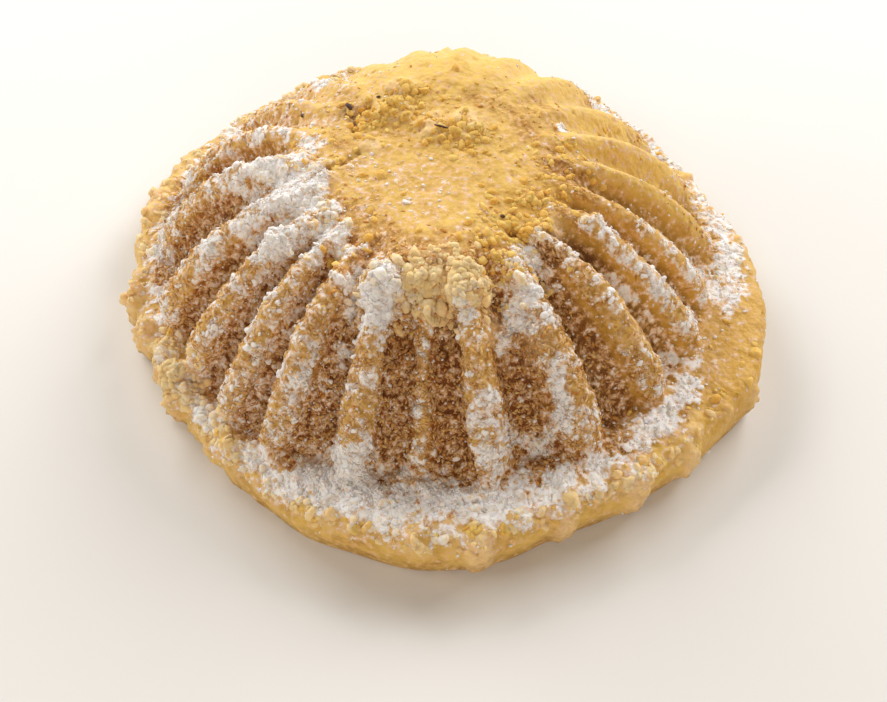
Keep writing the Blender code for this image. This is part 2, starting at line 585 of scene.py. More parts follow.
def side_section(outer, top):
    """Radius and height of each ring down the brim's side and across the bottom."""
    thickness = top - LOW.z
    rings = []
    for band in range(1, SIDE_BANDS + 1):
        part = band / SIDE_BANDS
        across = math.cos(math.pi * part)
        bulge = math.sin(math.pi * part) ** SIDE_FULLNESS if part < 1 else 0.0
        tuck = SIDE_TUCK if part > 0.5 else 0.0
        radius = outer - EDGE_ROUND * (1 - bulge) * (1 - tuck)
        rise = across * (SIDE_EVENNESS + (1 - SIDE_EVENNESS) * abs(across))
        rings.append((radius, LOW.z + thickness * (1 + rise) / 2))
    flat = outer - EDGE_ROUND * (1 - SIDE_TUCK)
    for band in range(1, BOTTOM_BANDS + 1):
        inward = band / (BOTTOM_BANDS + 1)
        rings.append((flat * (1 - inward), np.full(len(outer), LOW.z)))
    return rings


def vertex_normals(points, faces):
    """A unit normal at each point, from the faces round it."""
    corners = points[faces]
    across = np.cross(corners[:, 1] - corners[:, 0], corners[:, 2] - corners[:, 0])
    normals = np.zeros_like(points)
    for corner in range(3):
        np.add.at(normals, faces[:, corner], across)
    lengths = np.linalg.norm(normals, axis=1, keepdims=True)
    return normals / np.maximum(lengths, TINY)


# ---------- the skin's relief and its looks


# Cracks and heaps stray from their course: the size of the bends, and how far they stray, in mm.
CRACK_BEND = 1.6 * MM
CRACK_STRAY = 0.35
HEAP_BEND = 1.4 * MM
HEAP_STRAY = 0.275
# Pits: how many, their radius and its range, their depth in mm, and how likely they are anywhere
# and on the crown, against 1 on golden dough.
PIT_COUNT = 200
PIT_RADIUS = 0.38 * MM
PIT_RANGE = (0.5, 1.3)
PIT_DEPTH = 0.26
PITS_ANYWHERE = 0.05
PITS_ON_CROWN = 0.6

# The crown's reach, and that of its middle, darkened by painted shade, in mm.
CROWN_REACH = 14
SHADED_REACH = 9
# Crests: the height in mm at which one is full. As parts of it: how far below its ring's average
# a flute's side lies, within what spread, and where its valley starts and is full.
FULL_CREST = 0.9
FLUTE_SIDE = 0.15
FLUTE_SPREAD = 0.55
VALLEY_RISE = (0.45, 0.9)

# The noises of the skin: size in mm, seed, and octaves, where 0 stands for packed round cells.
NOISES = {
    "swell": (5.0, 1.0, 2),
    "knobs": (4.4, 9.0, 0),
    "lumps": (2.6, 2.0, 0),
    "patches": (2.6, 6.0, 3),
    "crumb": (1.3, 3.0, 0),
    "bits": (0.85, 10.0, 0),
    "speckle": (0.7, 7.0, 2),
    "grain": (0.55, 5.0, 3),
}

# The bumps on each kind of dough: each noise's height in mm, and its value that lies level.
FLANK_BUMPS = {
    "crumb": (0.46, CELL_LEVEL),
    "lumps": (0.28, 0.40),
    "bits": (0.26, CELL_LEVEL),
    "grain": (0.12, 0.0),
}
SMOOTH_BUMPS = {"crumb": (0.09, CELL_LEVEL), "bits": (0.06, CELL_LEVEL), "grain": (0.05, 0.0)}
HEAP_BUMPS = {"crumb": (0.60, CELL_LEVEL), "bits": (0.30, CELL_LEVEL)}
EDGE_BUMPS = {"lumps": (0.95, 0.45), "crumb": (0.42, CELL_LEVEL), "grain": (0.08, 0.0)}
# Heights in mm: the wide swells, a crest, and sugar, flat and in bits.
SWELL_HEIGHT = 0.22
CREST_HEIGHT = 0.62
SUGAR_HEIGHT = 0.05
SUGAR_BITS = 0.20
# How much of the relief the crown and the brim's wall keep, from where to where a slope is a
# wall, and how much moist dough, the flanks' heaps and golden dough lose.
CROWN_SWELL = 0.4
WALL_RELIEF = 0.06
WALL_UP = (0.0, 0.6)
MOIST_LOSS = 0.75
HEAP_LOSS = 0.7
GOLD_LOSS = 0.8

# Sugar: how much of it a wall holds, how much more crests and the flutes' valleys hold, and how
# ragged noise makes its borders.
SUGAR_ON_WALL = 0.62
SUGAR_ON_CREST = 0.22
SUGAR_IN_VALLEY = 0.35
SUGAR_PATCHES = 0.62
SUGAR_SPECKLE = 0.42
# How much less lies on moist dough, golden dough, the crown and the edge's lumps, then the sums
# from bare to covered, and the slopes from bare to covered.
SHED_BY_DEEP = 0.40
SHED_BY_GOLD = 0.6
SHED_BY_CROWN = 0.35
SHED_BY_EDGE = 0.7
SUGAR_RANGE = (0.10, 1.05)
SUGAR_UP = (0.05, 0.42)
# The veil: its slopes, how mottled it is on the flanks and elsewhere, and its most.
VEIL_UP = (0.0, 0.4)
VEIL_SPECKLE = 0.8
VEIL_PATCHES = 1.2
VEIL_MOST = 0.6

# How golden the edge and the crests are, how much painted shade darkens the crown's middle and the
# edge, and how pale the edge's lumps and the heaps are.
GOLD_EDGE = 0.8
GOLD_CREST = 0.9
GOLD_CREST_MOST = 0.6
SHADE_MIDDLE = 0.75
SHADE_EDGE = 0.5
PALE_EDGE = 0.9
PALE_UP = (-0.1, 0.5)
PALE_HEAP = 0.8
# How much darker the low edge is, how much painted shade darkens the hollows and the pits, how
# high the low edge reaches, how far a gap between crumbs counts as a hollow, and how much sugar a
# pit loses.
LOW_EDGE_DARKENING = 0.5
HOLLOW_PAINTED_SHADE = 0.70
PIT_PAINTED_SHADE = 0.8
LOW_EDGE = 0.16
CRUMB_HOLLOW = 0.6
PIT_SUGAR_LOSS = 1.5


def about_axis(points):
    """X and Y of each point about the dome's axis, in mm."""
    return (points[:, 0] - AXIS[0]) / MM, (points[:, 1] - AXIS[1]) / MM


def spot(azimuth, distance):
    """X and Y about the dome's axis of one place, in mm."""
    turn = math.radians(azimuth)
    return distance * math.cos(turn), distance * math.sin(turn)


def crack_field(points):
    """How deep each point lies in a crack, in mm."""
    x, y = about_axis(points)
    stray = fractal(points, CRACK_BEND, octaves=2, seed=4.0) * CRACK_STRAY
    deepest = np.zeros(len(points))
    for depth, width, *stops in CRACKS:
        knots = [spot(*stop) for stop in stops]
        for (ax, ay), (bx, by) in zip(knots, knots[1:]):
            length = math.hypot(bx - ax, by - ay)
            along = ((x - ax) * (bx - ax) + (y - ay) * (by - ay)) / length**2
            along = np.clip(along, 0, 1)
            away = np.hypot(x - ax - along * (bx - ax), y - ay - along * (by - ay)) + stray
            deepest = np.maximum(deepest, depth * np.exp(-((away / width) ** 2)))
    return deepest


def pit_field(points, density):
    """Small round pits, as open crumb has, in mm. The density says where they are likely."""
    chance = density / density.sum()
    centres = points[RNG.choice(len(points), PIT_COUNT, p=chance)]
    radii = PIT_RADIUS * RNG.uniform(*PIT_RANGE, PIT_COUNT)
    deepest = np.zeros(len(points))
    for centre, radius in zip(centres, radii):
        away = np.linalg.norm(points - centre, axis=1) / radius
        deepest = np.maximum(deepest, PIT_DEPTH * np.exp(-(away**3)))
    return deepest


def lump_field(points):
    """Heaps on the skin, with ragged outlines, in mm; and where they are, from 0 to 1."""
    height = np.zeros(len(points))
    where = np.zeros(len(points))
    x, y = about_axis(points)
    stray = fractal(points, HEAP_BEND, octaves=2, seed=12.0) * HEAP_STRAY
    for azimuth, distance, radius, rise in LUMPS:
        middle_x, middle_y = spot(azimuth, distance)
        away = np.hypot(x - middle_x, y - middle_y) / radius
        heap = np.exp(-((np.maximum(away + stray, 0)) ** 4))
        height = np.maximum(height, rise * heap)
        where = np.maximum(where, heap)
    return height, where


def find_noises(points):
    """The value of each noise at each point."""
    found = {}
    for name, (size, seed, octaves) in NOISES.items():
        if octaves:
            found[name] = fractal(points, size * MM, octaves, seed)
        else:
            found[name] = cell_bumps(points, size * MM, seed)
    return found


def bumps(noises, heights):
    """Adds up noises, each by its height and the value that lies level."""
    return sum(height * (noises[name] - level) for name, (height, level) in heights.items())


def find_dough(skin):
    """Says where the crown, the golden dough, the flanks, the crests and the moist dough are."""
    skin.crown = np.exp(-((skin.distances / CROWN_REACH) ** 4))
    skin.golden = np.clip(skin.field(GOLD_PLACES), 0, 1)
    skin.smooth = np.maximum(skin.crown, skin.golden)
    skin.flank = (1 - skin.edge) * (1 - skin.smooth)
    skin.rise = np.clip(skin.crest / FULL_CREST, -1, 1)
    flute_side = skin.flank * np.exp(-(((skin.rise + FLUTE_SIDE) / FLUTE_SPREAD) ** 2))
    skin.deep = np.clip(skin.field(DEEP_PLACES) + flute_side * skin.field(FLUTE_PLACES), 0, 1)


def sugar_cover(skin, noises):
    """How thick icing sugar lies at each point, from 0 to 1."""
    valley = skin.flank * smooth_step(-skin.rise, *VALLEY_RISE)
    hold = SUGAR_ON_WALL + (1 - SUGAR_ON_WALL) * skin.up
    sugar = skin.field(SUGAR_PLACES) * hold
    sugar += SUGAR_ON_CREST * skin.rise * skin.flank
    sugar += SUGAR_IN_VALLEY * valley * skin.field(FLUTE_PLACES)
    sugar += SUGAR_PATCHES * noises["patches"] + SUGAR_SPECKLE * noises["speckle"]
    sugar -= SHED_BY_DEEP * skin.deep + SHED_BY_GOLD * skin.golden
    sugar -= SHED_BY_CROWN * skin.crown + SHED_BY_EDGE * skin.edge * noises["lumps"]
    sugar = smooth_step(sugar, *SUGAR_RANGE) * smooth_step(skin.up, *SUGAR_UP)
    veil = skin.field(VEIL_PLACES) * (1 - GOLD_LOSS * skin.golden)
    mottle = 1 + VEIL_SPECKLE * noises["speckle"] * skin.flank
    mottle += VEIL_PATCHES * noises["patches"] * (1 - skin.flank)
    return np.maximum(sugar, np.clip(veil * smooth_step(skin.up, *VEIL_UP) * mottle, 0, VEIL_MOST))


def skin_relief(skin, noises, sugar, heaped):
    """How far swells, crumbs, crests and sugar raise each point, in mm."""
    swell = CROWN_SWELL + (1 - CROWN_SWELL) * (skin.flank + skin.edge)
    relief = SWELL_HEIGHT * noises["swell"] * swell
    relief += skin.flank * bumps(noises, FLANK_BUMPS) * (1 - MOIST_LOSS * skin.deep)
    relief += skin.flank * CREST_HEIGHT * skin.rise
    relief += skin.smooth * bumps(noises, SMOOTH_BUMPS)
    relief += heaped * bumps(noises, HEAP_BUMPS) * (1 - HEAP_LOSS * skin.flank)
    on_top = WALL_RELIEF + (1 - WALL_RELIEF) * smooth_step(skin.up, *WALL_UP)
    left = (1 - GOLD_LOSS * skin.golden) * on_top
    relief += skin.edge * bumps(noises, EDGE_BUMPS) * left
    relief += skin.edge * skin.field(KNOB_PLACES) * (noises["knobs"] - CELL_LEVEL)
    return relief + sugar * (SUGAR_HEIGHT + SUGAR_BITS * noises["bits"])


def find_looks(skin, noises, sugar, heaped, cracks, pits):
    """Says how sugared, golden and pale each point is, where painted shade falls, and how stained
    it is.
    """
    skin.sugar = sugar * (1 - np.clip(PIT_SUGAR_LOSS * pits + cracks, 0, 1))
    golden_crest = skin.flank * np.clip(GOLD_CREST * skin.rise, 0, GOLD_CREST_MOST)
    skin.gold = np.clip(skin.smooth + GOLD_EDGE * skin.edge + golden_crest, 0, 1)
    # Painted shade: the golden dough of the crown's middle and of the brim's edge is darkened.
    middle = np.exp(-((skin.distances / SHADED_REACH) ** 4))
    skin.bright = 1 - SHADE_MIDDLE * middle - SHADE_EDGE * skin.edge
    pale_edge = skin.edge * noises["lumps"] * smooth_step(skin.up, *PALE_UP)
    pale_edge *= PALE_EDGE * (1 - GOLD_LOSS * skin.golden)
    skin.pale = np.clip(pale_edge + PALE_HEAP * heaped, 0, 1)
    # Stains are real and the low edge is darker; the flutes' valleys, the spaces between crumbs,
    # cracks and pits get painted shade.
    high = smooth_step(skin.points[:, 2], LOW.z, LOW.z + LOW_EDGE * HEIGHT)
    hollow = np.clip(-skin.rise, 0, 1) + CRUMB_HOLLOW * (0.5 - noises["crumb"])
    toast = np.clip(skin.field(STAIN_PLACES), 0, 1) + LOW_EDGE_DARKENING * skin.edge * (1 - high)
    toast += HOLLOW_PAINTED_SHADE * hollow * skin.flank + cracks + PIT_PAINTED_SHADE * pits
    skin.toast = np.clip(toast, 0, 1)


def shape_skin():
    """The skin with its relief, and with what its materials need to know at each point."""
    skin = Skin()
    noises = find_noises(skin.points)
    find_dough(skin)
    sugar = sugar_cover(skin, noises)
    heaps, heaped = lump_field(skin.points)
    cracks = crack_field(skin.points)
    pitted = PITS_ANYWHERE + skin.golden + PITS_ON_CROWN * skin.crown
    pits = pit_field(skin.points, skin.free * pitted)
    find_looks(skin, noises, sugar, heaped, cracks, pits)
    relief = heaps + skin_relief(skin, noises, sugar, heaped)
    skin.push((relief - cracks - pits) * MM)
    return skin


# ---------- materials


# Most of a noise's values lie between these.
NOISE_RANGE = (0.3, 0.7)
# The sizes of each material's noises.
DOUGH_GRAIN = 0.75 * MM
DOUGH_MOTTLE = 1.5 * MM
DOUGH_BLOTCH = 3.2 * MM
DOUGH_CELLS = 0.55 * MM
CRUMB_GRAIN = 0.45 * MM
SUGAR_GRAIN = 0.22 * MM
SPECK_GRAIN = 0.30 * MM
# How far noise blurs the borders of golden dough, deep gold, painted shade and sugar.
GOLD_BLUR = (-0.25, 0.25)
DEEP_BLUR = (-0.2, 0.2)
SHADE_BLUR = (-0.7, 0.7)
SUGAR_BLUR = (-0.55, 0.50)
CRUMB_BLUR = (-0.3, 0.3)
CRUMB_SUGAR_BLUR = (-0.4, 0.4)
# How strong a look is where the noise is low and where it is high.
PALE_STRENGTH = (0.45, 1.1)
STAIN_AND_SHADE_STRENGTH = (1.1, 0.45)
# Cream flecks: the noise that shows them, and their strength on dry and on moist dough.
FLECK_RANGE = (0.46, 0.62)
FLECK_STRENGTH = (0.42, 0.03)
# Painted shade between crumbs: the cell distances that show it, and how smooth dough loses it.
GAP_RANGE = (0.42, 0.75)
GAP_SMOOTH = (0.2, 0.8)
GAP_STRENGTH = (0.7, 0.0)
# Where each look sets in and where it is full.
GOLD_RANGE = (0.1, 0.9)
DUSTED_RANGE = (0.05, 0.50)
SUGARED_RANGE = (0.35, 0.90)
CRUMB_SUGARED_RANGE = (0.4, 1.1)
SMOOTH_RANGE = (0.2, 0.9)
# Gloss and fine bumps of the dough, where it is dry and where it is smooth.
DOUGH_ROUGHNESS = (0.78, 0.98)
DOUGH_GLOSS = (0.0, 0.25)
GRAIN_PART = 1.2
CELL_PART = 0.8
BUMP_PART = (1.0, 0.6)


class Nodes:
    """Short forms for building one material's nodes."""

    def __init__(self, name):
        self.material = bpy.data.materials.new(name)
        self.material.use_nodes = True
        self.tree = self.material.node_tree
        self.shader = self.tree.nodes["Principled BSDF"]
        self.place = self.tree.nodes.new("ShaderNodeTexCoord").outputs["Object"]

    def put(self, value, socket):
        """Links a socket to another one, or sets it to a plain value."""
        if isinstance(value, bpy.types.NodeSocket):
            self.tree.links.new(value, socket)
        else:
            socket.default_value = value

    def feed(self, name, value):
        """Links or sets one of the shader's inputs."""
        self.put(value, self.shader.inputs[name])

    def add(self, kind, **inputs):
        """The outputs of a new node, whose inputs are given by name, with _ for a space."""
        node = self.tree.nodes.new(kind)
        for name, value in inputs.items():
            self.put(value, node.inputs[name.replace("_", " ")])
        return node.outputs

    def attribute(self, name):
        node = self.tree.nodes.new("ShaderNodeAttribute")
        node.attribute_name = name
        return node.outputs["Fac"]

    def noise(self, size, detail=3.0, rough=0.65):
        return self.add(
            "ShaderNodeTexNoise", Scale=1 / size, Detail=detail, Roughness=rough, Vector=self.place
        )["Fac"]

    def cells(self, size):
        return self.add("ShaderNodeTexVoronoi", Scale=1 / size, Vector=self.place)["Distance"]

    def remap(self, value, low, high, to_low=0.0, to_high=1.0):
        ends = {"From_Min": low, "From_Max": high, "To_Min": to_low, "To_Max": to_high}
        return self.add("ShaderNodeMapRange", Value=value, **ends)["Result"]

    def spread(self, noise_value, low, high):
        """Stretches a noise over the range from low to high."""
        return self.remap(noise_value, *NOISE_RANGE, low, high)

    def blurred(self, name, noise_value, low, high):
        """An attribute of the mesh whose borders are blurred by noise."""
        return self.math("ADD", self.attribute(name), self.spread(noise_value, low, high))

    def limit(self, value):
        """Keeps a value between 0 and 1."""
        return self.remap(value, 0.0, 1.0)

    def math(self, kind, first, second):
        node = self.tree.nodes.new("ShaderNodeMath")
        node.operation = kind
        self.put(first, node.inputs[0])
        self.put(second, node.inputs[1])
        return node.outputs["Value"]

    def mix(self, part, first, second):
        node = self.tree.nodes.new("ShaderNodeMix")
        node.data_type = "RGBA"
        self.put(part, node.inputs["Factor"])
        sockets = [entry for entry in node.inputs if entry.type == "RGBA"]
        self.put(first, sockets[0])
        self.put(second, sockets[1])
        return [entry for entry in node.outputs if entry.type == "RGBA"][0]

    def bump(self, height, distance, strength):
        bump = self.add("ShaderNodeBump", Height=height, Distance=distance, Strength=strength)
        self.feed("Normal", bump["Normal"])

    def finish(self, specular, weight, scale, radius):
        """Sets the gloss, and how far light scatters inside."""
        self.feed("Specular IOR Level", specular)
        self.feed("Subsurface Weight", weight)
        self.feed("Subsurface Scale", scale)
        self.feed("Subsurface Radius", radius)


def dough_colour(nodes, grain, gold, deep):
    """Amber, golden, deep gold and pale dough, with cream flecks, and painted shade on the golden
    dough.
    """
    mottle = nodes.noise(DOUGH_MOTTLE, 4.0, 0.6)
    bright = nodes.blurred("bright", mottle, *SHADE_BLUR)
    golden = nodes.mix(nodes.limit(bright), GOLD_MOTTLE_AND_PAINTED_SHADE, GOLD_DOUGH)
    dough = nodes.mix(nodes.remap(gold, *GOLD_RANGE), AMBER_DOUGH, golden)
    dough = nodes.mix(nodes.limit(deep), dough, DEEP_GOLD)
    strength = nodes.spread(grain, *PALE_STRENGTH)
    pale = nodes.math("MULTIPLY", nodes.attribute("pale"), strength)
    dough = nodes.mix(nodes.limit(pale), dough, PALE_CRUMB)
    strength = nodes.remap(deep, 0.0, 1.0, *FLECK_STRENGTH)
    flecks = nodes.math("MULTIPLY", nodes.remap(grain, *FLECK_RANGE), strength)
    return nodes.mix(flecks, dough, CREAM)


def stained_and_shaded(nodes, dough, grain, cells, smooth):
    """The dough darkened by its stains and low edge, and by painted shade in hollows, cracks, pits
    and between crumbs.
    """
    # Painted shade in the spaces between crumbs.
    strength = nodes.remap(smooth, *GAP_SMOOTH, *GAP_STRENGTH)
    gaps = nodes.math("MULTIPLY", nodes.remap(cells, *GAP_RANGE), strength)
    strength = nodes.spread(grain, *STAIN_AND_SHADE_STRENGTH)
    toast = nodes.math("MULTIPLY", nodes.attribute("toast"), strength)
    toast = nodes.math("MAXIMUM", toast, gaps)
    return nodes.mix(nodes.limit(toast), dough, STAIN_AND_PAINTED_SHADE_BROWN)


def sugared(nodes, dough, grain):
    """The dough under sugar: first dusted, then white."""
    sugar = nodes.blurred("sugar", grain, *SUGAR_BLUR)
    dusted = nodes.mix(nodes.remap(sugar, *DUSTED_RANGE), dough, DUSTED)
    return nodes.mix(nodes.remap(sugar, *SUGARED_RANGE), dusted, SUGAR)


def skin_material():
    nodes = Nodes("dough_skin")
    grain = nodes.noise(DOUGH_GRAIN, 3.0, 0.6)
    blotch = nodes.noise(DOUGH_BLOTCH, 3.0, 0.55)
    cells = nodes.cells(DOUGH_CELLS)
    gold = nodes.blurred("gold", blotch, *GOLD_BLUR)
    deep = nodes.blurred("deep", blotch, *DEEP_BLUR)
    smooth = nodes.math("MAXIMUM", gold, deep)
    dough = dough_colour(nodes, grain, gold, deep)
    dough = stained_and_shaded(nodes, dough, grain, cells, smooth)
    nodes.feed("Base Color", sugared(nodes, dough, grain))
    gloss = nodes.remap(smooth, *SMOOTH_RANGE, *DOUGH_GLOSS)
    rough = nodes.math("SUBTRACT", nodes.spread(grain, *DOUGH_ROUGHNESS), gloss)
    nodes.feed("Roughness", rough)
    grains = nodes.math("MULTIPLY", grain, GRAIN_PART)
    height = nodes.math("SUBTRACT", grains, nodes.math("MULTIPLY", cells, CELL_PART))
    height = nodes.math("MULTIPLY", height, nodes.remap(smooth, *SMOOTH_RANGE, *BUMP_PART))
    nodes.bump(height, distance=0.22 * MM, strength=0.8)
    nodes.finish(specular=0.4, weight=0.22, scale=0.9 * MM, radius=(1.0, 0.55, 0.22))
    return nodes.material


def crumb_material(name, pale, deep):
    """Bits of the dough: each has its own tone, each is mottled, and sugar dusts some."""
    nodes = Nodes(name)
    grain = nodes.noise(CRUMB_GRAIN)
    tone = nodes.blurred("tone", grain, *CRUMB_BLUR)
    dough = nodes.mix(nodes.limit(tone), pale, deep)
    sugar = nodes.blurred("sugar", grain, *CRUMB_SUGAR_BLUR)
    colour = nodes.mix(nodes.remap(sugar, *CRUMB_SUGARED_RANGE), dough, SUGAR)
    nodes.feed("Base Color", colour)
    nodes.feed("Roughness", nodes.spread(grain, 0.7, 0.95))
    nodes.bump(grain, distance=0.25 * MM, strength=0.9)
    nodes.finish(specular=0.3, weight=0.3, scale=0.8 * MM, radius=(1.0, 0.6, 0.25))
    return nodes.material


def sugar_material():
    nodes = Nodes("icing_sugar")
    grain = nodes.noise(SUGAR_GRAIN)
    colour = nodes.mix(nodes.spread(grain, 0.0, 1.0), SUGAR_SHADE, SUGAR)
    nodes.feed("Base Color", colour)
    nodes.feed("Roughness", nodes.spread(grain, 0.85, 1.0))
    nodes.bump(grain, distance=0.10 * MM, strength=0.7)
    nodes.finish(specular=0.2, weight=0.15, scale=0.5 * MM, radius=(1.0, 0.9, 0.8))
    return nodes.material


def speck_material():
    nodes = Nodes("date_speck")
    grain = nodes.noise(SPECK_GRAIN, 2.0, 0.5)
    nodes.feed("Base Color", nodes.mix(grain, SPECK_DARK, SPECK_BROWN))
    nodes.feed("Roughness", nodes.spread(grain, 0.45, 0.7))
    nodes.bump(grain, distance=0.05 * MM, strength=0.6)
    return nodes.material


def floor_material():
    nodes = Nodes("pale_floor")
    cloud = nodes.noise(FLOOR_CLOUD, 2.0, 0.5)
    nodes.feed("Base Color", nodes.mix(cloud, FLOOR_PALE, FLOOR_PALER))
    nodes.feed("Roughness", FLOOR_ROUGHNESS)
    return nodes.material


# ---------- building pieces


# A grain's belt: its corners, and how far they shift along the grain in turn.
BELT_CORNERS = 5
BELT_SHIFT = 0.25
# The waves that dent a bit: how many, and how closely they follow each other.
DENT_WAVES = 3
DENT_SWINGS = 2.2
# How far one bit's lengths differ from its kind's.
STRETCH_RANGE = (0.8, 1.2)


def mesh_piece(name, points, faces, material, attributes):
    """A smooth-shaded mesh object with float attributes, riding on the cookie's body."""
    mesh = bpy.data.meshes.new(name)
    mesh.from_pydata([], [], [])
    mesh.vertices.add(len(points))
    mesh.vertices.foreach_set("co", points.astype(np.float32).ravel())
    mesh.loops.add(faces.size)
    mesh.loops.foreach_set("vertex_index", faces.astype(np.int32).ravel())
    mesh.polygons.add(len(faces))
    mesh.polygons.foreach_set("loop_start", np.arange(0, faces.size, 3, dtype=np.int32))
    mesh.update(calc_edges=True)
    mesh.validate()
    mesh.shade_smooth()
    for key, values in attributes.items():
        layer = mesh.attributes.new(key, "FLOAT", "POINT")
        layer.data.foreach_set("value", values.astype(np.float32))
    mesh.materials.append(material)
    piece = bpy.data.objects.new(name, mesh)
    bpy.context.scene.collection.objects.link(piece)
    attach(piece, BODY)
    return piece


def unit_nugget(level):
    """Points and triangles of a ball of radius 1."""
    ball = bmesh.new()
    bmesh.ops.create_icosphere(ball, subdivisions=level, radius=1.0)
    points = np.array([vertex.co[:] for vertex in ball.verts])
    faces = np.array([[vertex.index for vertex in face.verts] for face in ball.faces])
    ball.free()
    return points, faces


def unit_sliver():
    """Points and triangles of a blunt grain along X: two tips and a belt between them."""
    turns = 2 * math.pi * np.arange(BELT_CORNERS) / BELT_CORNERS
    belt = np.column_stack([BELT_SHIFT * np.cos(2 * turns), np.cos(turns), np.sin(turns)])
    points = np.concatenate([[[-1, 0, 0], [1, 0, 0]], belt])
    faces = []
    for corner in range(BELT_CORNERS):
        after = 2 + (corner + 1) % BELT_CORNERS
        faces.append((0, after, 2 + corner))
        faces.append((1, 2 + corner, after))
    return points, np.array(faces)


def frames_on(normals, tilt):
    """A turned frame for each grain: its third axis is the normal, tipped by up to the tilt."""
    count = len(normals)
    tipped = normals + tilt * RNG.normal(size=(count, 3))
    tipped /= np.linalg.norm(tipped, axis=1, keepdims=True)
    random = RNG.normal(size=(count, 3))
    first = np.cross(tipped, random)
    first /= np.linalg.norm(first, axis=1, keepdims=True)
    return np.stack([first, np.cross(tipped, first), tipped], axis=2)


def places_on(skin, density, count):
    """Random places on the skin, likelier where the density is high: points, normals, sugar."""
    corners = skin.points[skin.faces]
    across = np.cross(corners[:, 1] - corners[:, 0], corners[:, 2] - corners[:, 0])
    areas = np.linalg.norm(across, axis=1)
    weights = areas * np.maximum(density[skin.faces].mean(axis=1), 0)
    chosen = RNG.choice(len(skin.faces), count, p=weights / weights.sum())
    parts = RNG.dirichlet((1, 1, 1), count)
    points = (corners[chosen] * parts[:, :, None]).sum(axis=1)
    normals = (skin.normals[skin.faces[chosen]] * parts[:, :, None]).sum(axis=1)
    normals /= np.linalg.norm(normals, axis=1, keepdims=True)
    return points, normals, skin.sugar[skin.faces[chosen]].mean(axis=1)


def random_sizes(count, lengths, proportions):
    """Half lengths along the three axes: mostly small ones, in the given proportions."""
    shortest, longest = lengths
    scales = shortest + (longest - shortest) * RNG.uniform(0, 1, count) ** 2
    stretch = RNG.uniform(*STRETCH_RANGE, (count, 3))
    return scales[:, None] * np.array(proportions) * stretch * MM


def strewn(name, shape, places, sizes, stance, material):
    """One piece of many bits: each is the unit shape, scaled, turned and dented in its own way."""
    unit, unit_faces = shape
    points, normals, sugar = places
    proud, tilt, lumpy = stance
    count = len(points)
    waves = RNG.normal(size=(count, DENT_WAVES, 3)) * DENT_SWINGS
    phases = RNG.uniform(0, 2 * math.pi, (count, DENT_WAVES))
    swings = np.sin(np.einsum("kj,nwj->nkw", unit, waves) + phases[:, None, :]).sum(axis=2)
    bodies = unit[None] * (1 + lumpy * swings[:, :, None])
    bodies = bodies * sizes[:, None, :]
    turned = np.einsum("nij,nkj->nki", frames_on(normals, tilt), bodies)
    centres = points + normals * (proud * sizes[:, 2])[:, None]
    placed = turned + centres[:, None, :]
    placed[:, :, 2] = np.maximum(placed[:, :, 2], LOW.z)
    faces = unit_faces[None] + (np.arange(count) * len(unit))[:, None, None]
    looks = {
        "tone": np.repeat(RNG.uniform(0, 1, count), len(unit)),
        "sugar": np.repeat(sugar, len(unit)),
    }
    mesh_piece(name, placed.reshape(-1, 3), faces.reshape(-1, 3), material, looks)


def strewn_on(skin, name, shape, density, bits, material):
    """Strews a kind of bits over the skin, likelier where the density is high."""
    count, lengths, proportions, stance = bits
    places = places_on(skin, density, count)
    sizes = random_sizes(count, lengths, proportions)
    strewn(name, shape, places, sizes, stance, material)


# ---------- the cookie's pieces


# Each kind of bits: how many, their half lengths in mm, their proportions, and their stance: how
# proud they stand, how far they tip and how lumpy they are.
SEMOLINA_BITS = (15000, (0.22, 0.56), (1.0, 0.38, 0.32), (0.15, 0.25, 0.04))
SUGAR_GRAINS = (9500, (0.08, 0.26), (1.0, 0.8, 0.6), (0.3, 0.5, 0.16))
SUGAR_CLUMPS = (1500, (0.15, 0.50), (1.0, 0.8, 0.45), (0.1, 0.3, 0.16))
GOLD_CRUMBS = (1500, (0.16, 0.70), (1.0, 0.82, 0.66), (-0.35, 0.6, 0.18))
PALE_CRUMBS = (1200, (0.18, 0.85), (1.0, 0.82, 0.66), (-0.3, 0.6, 0.18))
SPECK_STANCE = (1.3, 0.1, 0.10)
# How likely bits are where none were strewn.
STRAY_SEMOLINA = 0.003
STRAY_SUGAR = 0.006
STRAY_CRUMBS = 0.001
# Moist dough hides most of its grains, and clumps of sugar lie mostly on crests.
MOIST_HIDES = 0.95
CLUMPS_OFF_CREST = 0.15
# Crumbs lie where the skin faces up.
CRUMB_UP = (0.1, 0.6)
# Farther off than any point, so that no speck lands on the underside.
FAR_OFF = 1000


def add_skin(skin):
    """The whole surface of the cookie, which stands for the solid."""
    looks = {
        "sugar": skin.sugar,
        "gold": skin.gold,
        "bright": skin.bright,
        "deep": skin.deep,
        "pale": skin.pale,
        "toast": skin.toast,
    }
    piece = mesh_piece("cookie_skin", skin.points, skin.faces, skin_material(), looks)
    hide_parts(NODE)


def add_semolina(skin):
    """Coarse semolina grains that stand out of the dough, thickest on the dusted flanks."""
    dry = (1 - MOIST_HIDES * skin.deep) ** 2
    density = skin.free * (STRAY_SEMOLINA + skin.flank**2 * dry)
    material = crumb_material("semolina", CREAM, SEMOLINA_DEEP)
    strewn_on(skin, "semolina_grains", unit_sliver(), density, SEMOLINA_BITS, material)


def add_sugar_grains(skin):
    density = skin.sugar**1.3 + STRAY_SUGAR * skin.free
    material = sugar_material()
    strewn_on(skin, "sugar_grains", unit_nugget(1), density, SUGAR_GRAINS, material)


def add_sugar_clumps(skin):
    density = skin.sugar**3 * (CLUMPS_OFF_CREST + np.clip(skin.crest, 0, 1))
    material = sugar_material()
    strewn_on(skin, "sugar_clumps", unit_nugget(2), density, SUGAR_CLUMPS, material)


